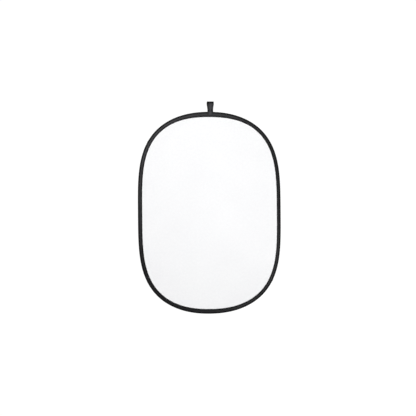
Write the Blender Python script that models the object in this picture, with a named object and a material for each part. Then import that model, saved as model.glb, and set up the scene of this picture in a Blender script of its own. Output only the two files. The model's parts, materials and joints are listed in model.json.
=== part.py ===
"""Collapsible oval reflector: a spring-steel hoop in a black binding tape, which stretches a white cloth and
a silver cloth, with a webbing loop at the top to hang it by.

The disc stands upright in the XZ plane with its white face towards -Y. The origin is under the crown of the
loop, where a hook bears. The hoop folds in half about a line across its middle, so everything that crosses
that line is in an upper and a lower node, and the loop swings on its sewn neck.
"""

import math

import bmesh
import bpy
import numpy as np
from mathutils import Vector

MM = 0.001
SIDES = {"front": -1, "back": 1}

# The disc, over the binding. Both ends are flatter than an ellipse's, and the sides are nearly straight.
DISC_WIDTH = 620 * MM
DISC_HEIGHT = 875 * MM
END_POWER = 2.165
SIDE_POWER = 3.61
OUTLINE_SAMPLES = 4000
FACETS = 96

GAP = 0.3 * MM

# The binding tape, folded round the hoop: a flat outer edge, a round shoulder, a crest over the hoop, and a
# slope down to the wing that is sewn to the cloths.
RIM_WIDTH = 17.6 * MM
RIM_EXTRA_AT_LEFT = 0.9 * MM
RIM_EXTRA_AT_LOOP = 5.0 * MM
RIM_EXTRA_AT_BOTTOM = 2.8 * MM
RIM_EXTRA_REACH = 240 * MM
TAPE_THICKNESS = 0.7 * MM
CREST_HEIGHT = 4.9 * MM
SHOULDER_RADIUS = 2.3 * MM
CREST_END = 6.8 * MM
WING_START = 12.6 * MM
SHOULDER_STEPS = 3
SLOPE_STEPS = 4

# The two cloths, back to back.
CLOTH_THICKNESS = 0.5 * MM
CLOTH_EDGE_DEPTH = 6.5 * MM
WING_HEIGHT = GAP / 2 + CLOTH_THICKNESS + GAP + TAPE_THICKNESS

# The hoop: one flat strip on edge, its ends joined in a crimped ferrule with a wrap of tape over it.
STRIP_WIDTH = 5.0 * MM
STRIP_THICKNESS = 0.9 * MM
STRIP_DEPTH = 2.85 * MM
STRIP_END_GAP = 0.6 * MM
FERRULE_WALL = 0.4 * MM
FERRULE_LENGTH = 42 * MM
CRIMP_DEPTH = 0.18 * MM
CRIMP_LENGTH = 2.0 * MM
CRIMP_PLACES = (-13 * MM, -6 * MM, 6 * MM, 13 * MM)
WRAP_THICKNESS = 0.3 * MM
WRAP_LENGTH = 56 * MM
SLEEVE_CHAMFER = 0.7 * MM

# Where the binding's two lengths meet, as shares of the way round from the top, clockwise from the front.
UPPER_JOINT_SHARE = -0.125
LOWER_JOINT_SHARE = 0.3728

# Stitching.
THREAD_RADIUS = 0.3 * MM
THREAD_SIDES = 6
SEAM_FROM_INNER_EDGE = 2.9 * MM
JOINT_STITCH_WIDTH = 0.9 * MM
JOINT_STITCH_THICKNESS = 0.5 * MM
JOINT_STITCH_END = 13.6 * MM

# The webbing loop: a sewn leg on each face of the rim, a neck just above it, and a teardrop eye. It is sewn
# in a little to the right of the disc's middle.
LOOP_FROM_MIDDLE = 5.6 * MM
WEBBING_THICKNESS = 1.2 * MM
LOOP_HEIGHT = 45 * MM
LOOP_WIDTH_AT_CROWN = 28.5 * MM
LOOP_WIDTH_AT_NECK = 25 * MM
EYE_RADIUS = 6.0 * MM
NECK_ABOVE_RIM = 3.5 * MM
NECK_CLEARANCE_ABOVE = 0.6 * MM
NECK_CLEARANCE_BELOW = 1.8 * MM
LEG_TOUCH = 0.575 * MM
LEG_END = 12.0 * MM
CROWN_STEPS = 10
BAR_TACK_WIDTH = 21 * MM
BAR_TACK_THICKNESS = 0.6 * MM
BAR_TACK_START = 8.6 * MM
BAR_TACK_END = 11.0 * MM

# The fold line lies across the middle, and its axis is just behind the back crest, so that the halves meet
# back to back.
FOLD_GAP = 0.6 * MM
FOLD_AXIS_Y = CREST_HEIGHT + GAP

RIM_TOP = WEBBING_THICKNESS - LOOP_HEIGHT
DISC_CENTRE = RIM_TOP - DISC_HEIGHT / 2
NECK = RIM_TOP + NECK_ABOVE_RIM

# Where each body's parent empty stands: on the axis that the body turns about.
PIVOTS = {
    "upper_half": (0, 0, 0),
    "lower_half": (-LOOP_FROM_MIDDLE, FOLD_AXIS_Y, DISC_CENTRE),
    "loop": (0, 0, NECK),
}

MATERIALS = {
    "white_cloth": ((0.93, 0.93, 0.93), 0.75, 0.0),
    "silver_cloth": ((0.72, 0.73, 0.75), 0.32, 0.9),
    "black_binding": ((0.018, 0.018, 0.02), 0.7, 0.0),
    "black_webbing": ((0.022, 0.022, 0.025), 0.75, 0.0),
    "black_thread": ((0.03, 0.03, 0.033), 0.6, 0.0),
    "spring_steel": ((0.32, 0.34, 0.38), 0.3, 1.0),
    "plated_steel": ((0.62, 0.62, 0.63), 0.28, 1.0),
    "vinyl_tape": ((0.03, 0.03, 0.03), 0.45, 0.0),
}


def outline_table():
    """Points along the disc's outer edge, clockwise from the top in the front view, and the way to each."""
    turn = np.linspace(0, 2 * math.pi, OUTLINE_SAMPLES + 1)
    across, up = np.sin(turn), np.cos(turn)
    x = DISC_WIDTH / 2 * np.sign(across) * np.abs(across) ** (2 / END_POWER)
    z = DISC_HEIGHT / 2 * np.sign(up) * np.abs(up) ** (2 / SIDE_POWER)
    run = np.concatenate([[0], np.cumsum(np.hypot(np.diff(x), np.diff(z)))])
    return x - LOOP_FROM_MIDDLE, z + DISC_CENTRE, run


OUTLINE_X, OUTLINE_Z, OUTLINE_RUN = outline_table()
PERIMETER = float(OUTLINE_RUN[-1])
FACET = PERIMETER / FACETS
UPPER_JOINT = UPPER_JOINT_SHARE * PERIMETER
LOWER_JOINT = LOWER_JOINT_SHARE * PERIMETER

# How far round each half starts and ends, clear of the fold line by half its gap.
UPPER_START, UPPER_END = -PERIMETER / 4 + FOLD_GAP / 2, PERIMETER / 4 - FOLD_GAP / 2
LOWER_START, LOWER_END = PERIMETER / 4 + FOLD_GAP / 2, PERIMETER * 3 / 4 - FOLD_GAP / 2
HALVES = {"upper": (UPPER_START, UPPER_END), "lower": (LOWER_START, LOWER_END)}


def on_outline(way):
    """The point of the outer edge this far clockwise from the top."""
    way = way % PERIMETER
    return np.array([np.interp(way, OUTLINE_RUN, OUTLINE_X), np.interp(way, OUTLINE_RUN, OUTLINE_Z)])


def corner(number, depth):
    """A corner of the faceted outline, moved in square to the edge. A facet is centred on the top, on each
    side and on the bottom."""
    way = (number + 0.5) * FACET
    along = on_outline(way + MM) - on_outline(way - MM)
    along /= np.hypot(*along)
    return on_outline(way) + depth * np.array([along[1], -along[0]])


def place(way, depth, y):
    """The point this far round the rim, this deep inside its outer edge, and at this y. It lies on the
    straight facet between two corners, so a piece inside another keeps its gap all the way."""
    number = math.floor(way / FACET - 0.5)
    share = way / FACET - 0.5 - number
    x, z = (1 - share) * corner(number, depth) + share * corner(number + 1, depth)
    return (x, y, z)


def nearness(way, place_on_rim):
    """1 at a place on the rim, and falling smoothly to 0 on either side of it."""
    away = abs((way - place_on_rim + PERIMETER / 2) % PERIMETER - PERIMETER / 2)
    return (1 + math.cos(math.pi * min(1.0, away / RIM_EXTRA_REACH))) / 2


def rim_width(way):
    """The tape's width. It is folded wider at the loop and at the bottom, and a little at the left."""
    extra = RIM_EXTRA_AT_LOOP * nearness(way, LOOP_FROM_MIDDLE)
    extra += RIM_EXTRA_AT_BOTTOM * nearness(way, PERIMETER / 2)
    return RIM_WIDTH + extra - RIM_EXTRA_AT_LEFT * math.sin(2 * math.pi * way / PERIMETER)


def rim_face(lift, width=RIM_WIDTH):
    """One face of the rim from its outer edge to the wing's end, as (depth, y) points, moved out by lift."""
    face = []
    for step in range(SHOULDER_STEPS + 1):
        angle = math.pi / 2 * step / SHOULDER_STEPS
        face.append(
            (SHOULDER_RADIUS * (1 - math.cos(angle)), CREST_HEIGHT - SHOULDER_RADIUS * (1 - math.sin(angle)))
        )
    for step in range(SLOPE_STEPS + 1):
        share = step / SLOPE_STEPS
        fall = (1 - math.cos(math.pi * share)) / 2
        face.append(
            (CREST_END + (WING_START - CREST_END) * share, CREST_HEIGHT - (CREST_HEIGHT - WING_HEIGHT) * fall)
        )
    face.append((width, WING_HEIGHT))
    face = np.array(face)
    along = np.gradient(face, axis=0)
    outward = np.stack([-along[:, 1], along[:, 0]], axis=1)
    outward /= np.linalg.norm(outward, axis=1)[:, None]
    outward[0] = (-1, 0)
    outward[[SHOULDER_STEPS, SHOULDER_STEPS + 1, -1]] = (0, 1)
    return [tuple(point) for point in face + lift * outward]


def cut_face(face, first_depth, last_depth):
    """The stretch of a rim face between two depths, with its ends cut exactly there."""
    depths = [depth for depth, _ in face]
    heights = [height for _, height in face]
    inside = [point for point in face if first_depth < point[0] < last_depth]
    ends = [(depth, float(np.interp(depth, depths, heights))) for depth in (first_depth, last_depth)]
    return [ends[0], *inside, ends[1]]


def material(slot):
    made = bpy.data.materials.get(slot)
    if made:
        return made
    colour, roughness, metallic = MATERIALS[slot]
    made = bpy.data.materials.new(slot)
    made.use_nodes = True
    shader = made.node_tree.nodes["Principled BSDF"]
    shader.inputs["Base Color"].default_value = (*colour, 1)
    shader.inputs["Roughness"].default_value = roughness
    shader.inputs["Metallic"].default_value = metallic
    return made


def make_pivots():
    for body, axis_point in PIVOTS.items():
        pivot = bpy.data.objects.new(body, None)
        pivot.location = axis_point
        bpy.context.scene.collection.objects.link(pivot)


def finish(name, maker, slot, body):
    """Turns a bmesh into a named object with its faces pointing out, parented to its body's pivot."""
    bmesh.ops.recalc_face_normals(maker, faces=maker.faces)
    bmesh.ops.translate(maker, verts=maker.verts, vec=-Vector(PIVOTS[body]))
    mesh = bpy.data.meshes.new(name)
    maker.to_mesh(mesh)
    maker.free()
    mesh.materials.append(material(slot))
    mesh.shade_smooth()
    mesh.set_sharp_from_angle(angle=math.radians(35))
    made = bpy.data.objects.new(name, mesh)
    made.parent = bpy.data.objects[body]
    bpy.context.scene.collection.objects.link(made)


def join_rings(maker, first, second):
    """Quads between two rings of vertices."""
    count = len(first)
    for i in range(count):
        j = (i + 1) % count
        maker.faces.new((first[i], first[j], second[j], second[i]))


def loft(name, rings, slot, body, bore_rings=None):
    """A solid through a row of rings of points, or a tube where bore_rings give its hollow."""
    maker = bmesh.new()
    outside = [[maker.verts.new(point) for point in ring] for ring in rings]
    for first, second in zip(outside, outside[1:]):
        join_rings(maker, first, second)
    if bore_rings is None:
        maker.faces.new(outside[0])
        maker.faces.new(outside[-1])
        finish(name, maker, slot, body)
        return
    inside = [[maker.verts.new(point) for point in ring] for ring in bore_rings]
    for first, second in zip(inside, inside[1:]):
        join_rings(maker, first, second)
    join_rings(maker, outside[0], inside[0])
    join_rings(maker, outside[-1], inside[-1])
    finish(name, maker, slot, body)


def stations(start, end):
    """Where the rings along the rim go: both ends, and each corner between them."""
    first, last = math.ceil(start / FACET - 0.5), math.floor(end / FACET - 0.5)
    corners = [(number + 0.5) * FACET for number in range(first, last + 1)]
    return [start, *[way for way in corners if start + MM < way < end - MM], end]


def sweep(name, profile_at, start, end, slot, body):
    """A solid along the rim. profile_at gives its section, a list of (depth, y), for each way."""
    rings = [[place(way, *point) for point in profile_at(way)] for way in stations(start, end)]
    loft(name, rings, slot, body)


def other_side(face):
    """The same face on the silver side of the rim."""
    return [(depth, -y) for depth, y in face]


def binding_profile(way):
    """The folded tape: its outside from one wing round to the other, and back along its inside."""
    width = rim_width(way)
    outside, inside = rim_face(0, width), rim_face(-TAPE_THICKNESS, width)
    return [*reversed(outside), *other_side(outside), *reversed(other_side(inside)), *inside]


def make_bindings():
    """Four lengths: the tape's two joints and the two ends of the fold line part them."""
    cut = FOLD_GAP / 2
    lengths = {
        "binding_top": (UPPER_JOINT + cut, UPPER_END, "upper_half"),
        "binding_left_upper": (UPPER_START, UPPER_JOINT - cut, "upper_half"),
        "binding_right_lower": (LOWER_START, LOWER_JOINT - cut, "lower_half"),
        "binding_bottom": (LOWER_JOINT + cut, LOWER_END, "lower_half"),
    }
    for name, (start, end, body) in lengths.items():
        sweep(name, binding_profile, start, end, "black_binding", body)


def strip_profile(way):
    near, far = STRIP_DEPTH - STRIP_THICKNESS / 2, STRIP_DEPTH + STRIP_THICKNESS / 2
    half = STRIP_WIDTH / 2
    return [(near, -half), (near, half), (far, half), (far, -half)]


def make_hoop():
    """Three lengths: the two ends of the fold line part them, and the butt joint inside the ferrule."""
    lengths = {
        "hoop_strip_upper": (UPPER_START, UPPER_END, "upper_half"),
        "hoop_strip_right_end": (LOWER_START, LOWER_JOINT - STRIP_END_GAP / 2, "lower_half"),
        "hoop_strip_lower": (LOWER_JOINT + STRIP_END_GAP / 2, LOWER_END, "lower_half"),
    }
    for name, (start, end, body) in lengths.items():
        sweep(name, strip_profile, start, end, "spring_steel", body)


def sleeve_profile(half_depth, half_width, chamfer):
    """A flat sleeve's section round the strip, with its corners cut off."""
    quarter = [(half_depth, half_width - chamfer), (half_depth - chamfer, half_width)]
    right = [*[(-depth, y) for depth, y in reversed(quarter)], *[(-depth, -y) for depth, y in quarter]]
    turn = [*quarter, *right, *[(depth, -y) for depth, y in reversed(quarter)]]
    return [(STRIP_DEPTH + depth, y) for depth, y in turn]


def make_sleeve(name, ways, clearance, wall, slot, pressed_in=()):
    """A flat tube round the strip, with its wall thinner where it is crimped."""
    half_depth, half_width = STRIP_THICKNESS / 2 + clearance, STRIP_WIDTH / 2 + clearance
    outside, inside = [], []
    for way in ways:
        thickness = wall - (CRIMP_DEPTH if way in pressed_in else 0)
        outer = sleeve_profile(half_depth + thickness, half_width + thickness, SLEEVE_CHAMFER)
        inner = sleeve_profile(half_depth, half_width, SLEEVE_CHAMFER - wall / 2)
        outside.append([place(way, *point) for point in outer])
        inside.append([place(way, *point) for point in inner])
    loft(name, outside, slot, "lower_half", inside)


def make_hoop_joint():
    crimps = [LOWER_JOINT + along for along in CRIMP_PLACES]
    shoulders = [way + side * CRIMP_LENGTH for way in crimps for side in (-1, 1)]
    ferrule_ways = stations(LOWER_JOINT - FERRULE_LENGTH / 2, LOWER_JOINT + FERRULE_LENGTH / 2)
    make_sleeve(
        "hoop_ferrule", sorted(crimps + shoulders + ferrule_ways), GAP, FERRULE_WALL, "plated_steel", crimps
    )
    wrap_ways = stations(LOWER_JOINT - WRAP_LENGTH / 2, LOWER_JOINT + WRAP_LENGTH / 2)
    make_sleeve("ferrule_wrap", wrap_ways, 2 * GAP + FERRULE_WALL, WRAP_THICKNESS, "vinyl_tape")


def make_cloth(name, half, near_y, far_y, slot):
    """Half of a cloth: a flat sheet from the hoop to the fold line, closed along the straight cut there."""
    edge = [place(way, CLOTH_EDGE_DEPTH, near_y) for way in stations(*HALVES[half])]
    far_edge = [(x, far_y, z) for x, _, z in edge]
    loft(name, [edge, far_edge], slot, f"{half}_half")


def make_cloths():
    near, far = GAP / 2, GAP / 2 + CLOTH_THICKNESS
    for half in HALVES:
        make_cloth(f"front_cloth_{half}", half, -far, -near, "white_cloth")
        make_cloth(f"back_cloth_{half}", half, near, far, "silver_cloth")


def thread_profile(way, side):
    """A round thread's section on the wing of the front, side -1, or of the back, side 1."""
    depth = rim_width(way) - SEAM_FROM_INNER_EDGE
    height = side * (WING_HEIGHT + GAP + THREAD_RADIUS)
    turns = [2 * math.pi * step / THREAD_SIDES for step in range(THREAD_SIDES)]
    circle = [(THREAD_RADIUS * math.cos(turn), THREAD_RADIUS * math.sin(turn)) for turn in turns]
    return [(depth + inwards, height + outwards) for inwards, outwards in circle]


def make_rim_stitching():
    """The needle thread on the front wing and the bobbin thread on the back wing."""
    for half, (start, end) in HALVES.items():
        for face, side in SIDES.items():
            name = f"rim_stitching_{face}_{half}"
            sweep(name, lambda way: thread_profile(way, side), start, end, "black_thread", f"{half}_half")


def make_band(name, low, high, width, slot, body, centre, side):
    """A band across the rim between two rows of (depth, y) points, on one face of it."""
    profile = [(depth, side * y) for depth, y in [*low, *reversed(high)]]
    sweep(name, lambda way: profile, centre - width / 2, centre + width / 2, slot, body)


def make_joint_stitching():
    """A row of stitches across each binding joint, on both faces."""
    low = cut_face(rim_face(GAP), SHOULDER_RADIUS, JOINT_STITCH_END)
    high = [(depth, y + JOINT_STITCH_THICKNESS) for depth, y in low]
    beside = FOLD_GAP / 2 + JOINT_STITCH_WIDTH
    for half, joint in {"upper": UPPER_JOINT, "lower": LOWER_JOINT}.items():
        for face, side in SIDES.items():
            name = f"{half}_joint_stitching_{face}"
            body = f"{half}_half"
            make_band(name, low, high, JOINT_STITCH_WIDTH, "black_thread", body, joint + beside, side)


def leg_path(lift):
    """The webbing's line from the neck over the rim's shoulder and down its face, at this lift."""
    over_rim = cut_face(rim_face(lift), LEG_TOUCH, LEG_END)
    neck_y = GAP / 2 + lift - GAP
    shoulder_y = over_rim[0][1]
    neck_depth = NECK_CLEARANCE_BELOW - NECK_ABOVE_RIM
    return [(neck_depth, neck_y), (-lift, (neck_y + shoulder_y) / 2), *over_rim]


def make_loop_legs():
    low, high = leg_path(GAP), leg_path(GAP + WEBBING_THICKNESS)
    tack_low = cut_face(rim_face(2 * GAP + WEBBING_THICKNESS), BAR_TACK_START, BAR_TACK_END)
    tack_high = [(depth, y + BAR_TACK_THICKNESS) for depth, y in tack_low]
    bands = [
        ("loop_leg", low, high, LOOP_WIDTH_AT_NECK, "black_webbing"),
        ("bar_tack", tack_low, tack_high, BAR_TACK_WIDTH, "black_thread"),
    ]
    for face, side in SIDES.items():
        for name, under, over, width, slot in bands:
            make_band(f"{name}_{face}", under, over, width, slot, "upper_half", LOOP_FROM_MIDDLE, side)


def make_hanging_loop():
    """The free part of the loop: up from the neck, round the crown and down, wider towards the crown."""
    foot = NECK + NECK_CLEARANCE_ABOVE
    turns = [math.pi * step / CROWN_STEPS for step in range(CROWN_STEPS + 1)]
    crown = [(-math.cos(turn), math.sin(turn)) for turn in turns]
    path = [(EYE_RADIUS * out_y, EYE_RADIUS * (out_z - 1), out_y, out_z) for out_y, out_z in crown]
    path = [(-GAP / 2, foot, -1, 0), *path, (GAP / 2, foot, 1, 0)]
    rings = []
    for y, z, out_y, out_z in path:
        share = min(1.0, (z - foot) / (-EYE_RADIUS - foot))
        half = (LOOP_WIDTH_AT_NECK + (LOOP_WIDTH_AT_CROWN - LOOP_WIDTH_AT_NECK) * share) / 2
        far_y, far_z = y + WEBBING_THICKNESS * out_y, z + WEBBING_THICKNESS * out_z
        rings.append([(-half, y, z), (half, y, z), (half, far_y, far_z), (-half, far_y, far_z)])
    loft("hanging_loop", rings, "black_webbing", "loop")


def main():
    for old in list(bpy.data.objects):
        bpy.data.objects.remove(old)
    make_pivots()
    make_bindings()
    make_hoop()
    make_hoop_joint()
    make_cloths()
    make_rim_stitching()
    make_joint_stitching()
    make_loop_legs()
    make_hanging_loop()


main()
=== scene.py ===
"""Looks for the collapsible oval reflector: its cloths, binding, stitching and webbing, in fine meshes and
procedural materials round the CAD frame, with a white studio and a camera in front of it."""

import json
import math

import bmesh
import bpy
import numpy as np
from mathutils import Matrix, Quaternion, Vector


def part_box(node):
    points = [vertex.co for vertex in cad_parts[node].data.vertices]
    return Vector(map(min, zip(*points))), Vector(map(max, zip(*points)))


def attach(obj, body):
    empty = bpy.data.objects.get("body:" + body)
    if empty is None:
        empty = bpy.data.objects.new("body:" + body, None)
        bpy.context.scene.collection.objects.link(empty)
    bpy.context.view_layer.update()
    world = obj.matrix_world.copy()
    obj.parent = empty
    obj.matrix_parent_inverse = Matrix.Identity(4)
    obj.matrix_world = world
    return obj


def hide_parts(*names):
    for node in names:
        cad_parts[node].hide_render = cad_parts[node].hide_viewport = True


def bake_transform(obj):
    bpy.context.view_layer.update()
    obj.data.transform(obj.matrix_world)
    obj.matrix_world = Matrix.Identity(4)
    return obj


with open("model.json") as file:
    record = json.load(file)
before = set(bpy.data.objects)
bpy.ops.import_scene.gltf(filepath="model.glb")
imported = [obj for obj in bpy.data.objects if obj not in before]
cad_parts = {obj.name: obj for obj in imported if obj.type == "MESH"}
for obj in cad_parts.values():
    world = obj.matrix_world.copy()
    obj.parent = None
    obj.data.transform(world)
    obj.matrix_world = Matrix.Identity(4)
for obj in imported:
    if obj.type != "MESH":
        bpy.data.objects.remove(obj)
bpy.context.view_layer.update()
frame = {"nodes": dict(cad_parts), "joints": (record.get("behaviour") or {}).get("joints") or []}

MM = 0.001
FRONT, BACK = -1, 1
SIDE_NAMES = {FRONT: "front", BACK: "back"}
SHARP_ANGLE = math.radians(42)


# ---------------- Sizes, from the frame ----------------


def joined_box(*nodes):
    """The lowest and highest corners of several nodes together."""
    boxes = [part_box(node) for node in nodes]
    low = Vector([min(box[0][axis] for box in boxes) for axis in range(3)])
    high = Vector([max(box[1][axis] for box in boxes) for axis in range(3)])
    return low, high


JOINTS = {joint["name"]: joint for joint in frame["joints"]}
NECK = Vector(JOINTS["loop_swing"]["pos_m"])

RIM_LOW, RIM_HIGH = joined_box("binding_top", "binding_left_upper", "binding_right_lower", "binding_bottom")
CENTRE = (RIM_LOW + RIM_HIGH) / 2
HALF_WIDTH = (RIM_HIGH.x - RIM_LOW.x) / 2
HALF_HEIGHT = (RIM_HIGH.z - RIM_LOW.z) / 2
CREST = RIM_HIGH.y
RIM_TOP = RIM_HIGH.z
LOOP_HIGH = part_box("hanging_loop")[1]
CLOTH_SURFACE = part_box("back_cloth_upper")[1].y

# The outline: |x / half width| ** END_POWER + |z / half height| ** SIDE_POWER = 1.
END_POWER = 2.165
SIDE_POWER = 3.61
OUTLINE_SAMPLES = 24000

# The rim's width, which is greater at the loop and at the bottom, and a little greater left than right.
RIM_WIDTH = 17.6 * MM
RIM_EXTRA_AT_LEFT = 0.9 * MM
RIM_EXTRA_AT_LOOP = 5.0 * MM
RIM_EXTRA_AT_BOTTOM = 2.8 * MM
RIM_EXTRA_REACH = 240 * MM

# The rim's section, as depths inside the outer edge and heights from the middle plane: a flat edge, a round
# shoulder up to the crest, and a slope down to the wing, which is sewn to the cloths. Where the rim is wider,
# the section is stretched from STRETCH_START to the wing.
EDGE_HALF = 2.1 * MM
SHOULDER = 3.8 * MM
STRETCH_START = 7 * MM
SLOPE_POWER = 1.25
WING_START = 13.2 * MM
WING_HEIGHT = 1.4 * MM
SEAM_DEPTH = RIM_WIDTH - 2.9 * MM
SEAM_GROOVE = 0.16 * MM
SEAM_GROOVE_REACH = 0.6 * MM

# The binding tape, which rolls up a little at its selvedges, puckers at the seam and swells over the hoop.
TAPE_THICKNESS = 0.6 * MM
TAPE_MESH_STEP = 2.9 * MM
SELVEDGE = 0.9 * MM
SELVEDGE_ROLL = 0.14 * MM
TAPE_PUCKER = 0.11 * MM
TAPE_PUCKER_WAVES = (9 * MM, 13 * MM, 21 * MM, 34 * MM)
TAPE_SWELL = 0.2 * MM
TAPE_SWELL_WAVES = (31 * MM, 47 * MM, 90 * MM)
# The gap kept between the tape and what it lies on, and the error allowed when two places are compared.
CLEARANCE = 0.05 * MM
ROUNDING = 0.01 * MM

# Where the two lengths of tape meet, as shares of the way round, clockwise from the top.
UPPER_JOINT_SHARE = -0.125
LOWER_JOINT_SHARE = 0.3728
BIAS_SLANT = 0.9
TAPE_LAP = 7 * MM
LAP_RAMP = 5 * MM

# The cut ends fray: how far in the cloth is combed out, and the size of the loose yarn ends.
FRAYED_END = 2.2 * MM
YARN_RADIUS = 0.13 * MM
YARN_LENGTH = 2.4 * MM
YARN_PITCH = 0.34 * MM
YARN_DEPTHS = (1.6 * MM, 16.4 * MM)

# The cloths. The tape's seam pulls them into puckers, and their middles stand a little proud, in long waves
# that are given as radians for each metre across and up.
CLOTH_EDGE_DEPTH = 6.5 * MM
CLOTH_THICKNESS = 0.4 * MM
CLOTH_COLUMNS = 420
CLOTH_INNER_RINGS = 23
CLOTH_PUCKER = 0.16 * MM
CLOTH_PUCKER_WAVES = (17 * MM, 26 * MM, 41 * MM, 63 * MM)
CLOTH_PUCKER_REACH = 24 * MM
CLOTH_SLACK = 0.9 * MM
CLOTH_SLACK_POWERS = (2.2, 3.2)
CLOTH_LONG_WAVE = (7.1, 3.3)
CLOTH_SHORT_WAVE = (-8.7, 5.2)

# The stitching, as beads of thread.
THREAD_RADIUS = 0.24 * MM
BEAD_SIDES = 6
RIM_STITCH_PITCH = 3.3 * MM
RIM_STITCH_LENGTH = 2.8 * MM
JOINT_STITCH_DEPTHS = (2.6 * MM, 13.4 * MM)
JOINT_STITCH_PITCH = 1.55 * MM
JOINT_STITCH_LENGTH = 1.75 * MM
JOINT_STITCH_RADIUS = 1.3 * THREAD_RADIUS
JOINT_STITCH_INSET = 2.2 * MM
TACK_STRANDS = 34
TACK_THREAD_RADIUS = 0.3 * MM
TACK_LEAN = 0.16

# The webbing, from its gathered neck to the crown, where it has its full width.
WEBBING_THICKNESS = 1.3 * MM
WEBBING_COLUMNS = 27
WEBBING_ROWS = 190
NECK_HALF = 12.3 * MM
NECK_GATHER_REACH = 7 * MM
NECK_CUP = 1.7 * MM
NECK_PLEAT = 0.35 * MM
FLARE_START = 6 * MM
FLARE_LENGTH = 36 * MM
# Where the webbing lies on the rim's slope, from the leg's end up, as depths below the rim's top.
LEG_DEPTHS = (12.4 * MM, 10.6 * MM, 8.6 * MM, 6.6 * MM, 4.4 * MM, 2.4 * MM)
# The loop is sewn a little askew: its front leg leans right and its back leg left, each by half of this at
# the crown. The lean grows from the neck, and changes over at the crown, along this length.
LOOP_SKEW = 3.0 * MM
LOOP_SKEW_LENGTH = 34 * MM
# The way along the webbing from the crown's middle to the neck.
NECK_RUN = 42 * MM
# The webbing's inner face lies this much further along its cloth, so that its material can tell the faces
# apart and paint the inner face dark, as painted shade.
INSIDE_SHIFT = 1.0

# The spring-steel strip, with its corners taken off, and the gap between its ends inside the ferrule.
STRIP_THICKNESS = 0.9 * MM
STRIP_CORNER = 0.12 * MM
STRIP_FLAT_SHARE = 0.93
STRIP_END_GAP = 0.6 * MM
STRIP_ROWS = 640


# ---------------- The outline ----------------


def outline_table():
    """The outer edge, clockwise from the top: the way run, x, z, and the unit vector inwards."""
    turn = np.linspace(0, 2 * math.pi, OUTLINE_SAMPLES + 1)
    across, up = np.sin(turn), np.cos(turn)
    # Exact zeros, so that the top, the bottom and the two sides lie on the axes.
    across[np.abs(across) < 1e-12] = 0
    up[np.abs(up) < 1e-12] = 0
    x = HALF_WIDTH * np.sign(across) * np.abs(across) ** (2 / END_POWER)
    z = HALF_HEIGHT * np.sign(up) * np.abs(up) ** (2 / SIDE_POWER)
    run = np.concatenate([[0], np.cumsum(np.hypot(np.diff(x), np.diff(z)))])
    out_x = np.sign(x) * np.abs(x / HALF_WIDTH) ** (END_POWER - 1) * END_POWER / HALF_WIDTH
    out_z = np.sign(z) * np.abs(z / HALF_HEIGHT) ** (SIDE_POWER - 1) * SIDE_POWER / HALF_HEIGHT
    size = np.hypot(out_x, out_z)
    return run, x + CENTRE.x, z + CENTRE.z, -out_x / size, -out_z / size


RUN, OUTLINE_X, OUTLINE_Z, INWARD_X, INWARD_Z = outline_table()
PERIMETER = float(RUN[-1])
UPPER_JOINT = UPPER_JOINT_SHARE * PERIMETER
LOWER_JOINT = LOWER_JOINT_SHARE * PERIMETER
# The loop is over the origin, and near the top the way run is the distance across.
LOOP_WAY = -CENTRE.x


def unit(vectors):
    """The vectors at length 1."""
    return vectors / np.linalg.norm(vectors, axis=-1, keepdims=True)


def rim_points(way, depth, y):
    """Points this far round the rim, this deep inside its outer edge, and at this y; the arrays broadcast."""
    way, depth, y = np.broadcast_arrays(np.mod(way, PERIMETER), depth, y)
    x = np.interp(way, RUN, OUTLINE_X) + depth * np.interp(way, RUN, INWARD_X)
    z = np.interp(way, RUN, OUTLINE_Z) + depth * np.interp(way, RUN, INWARD_Z)
    return np.stack([x, y, z], axis=-1)


def rim_directions(way):
    """Unit vectors inwards and clockwise along the rim."""
    way = np.mod(way, PERIMETER)
    inward_x = np.interp(way, RUN, INWARD_X)
    inward_z = np.interp(way, RUN, INWARD_Z)
    inward = unit(np.stack([inward_x, np.zeros_like(way), inward_z], axis=-1))
    along = np.stack([inward[..., 2], -inward[..., 1], -inward[..., 0]], axis=-1)
    return inward, along


def smooth(share):
    """From 0 to 1 with an easy start and end."""
    share = np.clip(share, 0, 1)
    return share * share * (3 - 2 * share)


def nearness(way, place):
    """1 at a place on the rim, and falling smoothly to 0 on either side of it."""
    away = np.abs(np.mod(way - place + PERIMETER / 2, PERIMETER) - PERIMETER / 2)
    return (1 + np.cos(np.pi * np.clip(away / RIM_EXTRA_REACH, 0, 1))) / 2


def rim_width(way):
    """How wide the tape lies on each face, this far round the rim."""
    extra = RIM_EXTRA_AT_LOOP * nearness(way, LOOP_WAY) + RIM_EXTRA_AT_BOTTOM * nearness(way, PERIMETER / 2)
    return RIM_WIDTH + extra - RIM_EXTRA_AT_LEFT * np.sin(2 * np.pi * way / PERIMETER)


def stretched(depth, way):
    """Where a depth of the plain section lies on the rim, whose slope stretches to the width there."""
    share = smooth((depth - STRETCH_START) / (WING_START - STRETCH_START))
    return depth + (rim_width(way) - RIM_WIDTH) * share


def ripples(way, seed, wavelengths):
    """A smooth wandering value along the rim, about -1 to 1, that closes on itself."""
    draw = np.random.default_rng(seed)
    total = np.zeros_like(way)
    for wavelength in wavelengths:
        turns = max(1, round(PERIMETER / wavelength))
        total += np.sin(2 * np.pi * (turns * way / PERIMETER + draw.random()))
    return total / len(wavelengths)


# ---------------- Mesh making ----------------


def turn_faces_out(mesh):
    """Makes every face of a closed mesh face outwards."""
    maker = bmesh.new()
    maker.from_mesh(mesh)
    bmesh.ops.recalc_face_normals(maker, faces=maker.faces)
    maker.to_mesh(mesh)
    maker.free()


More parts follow.
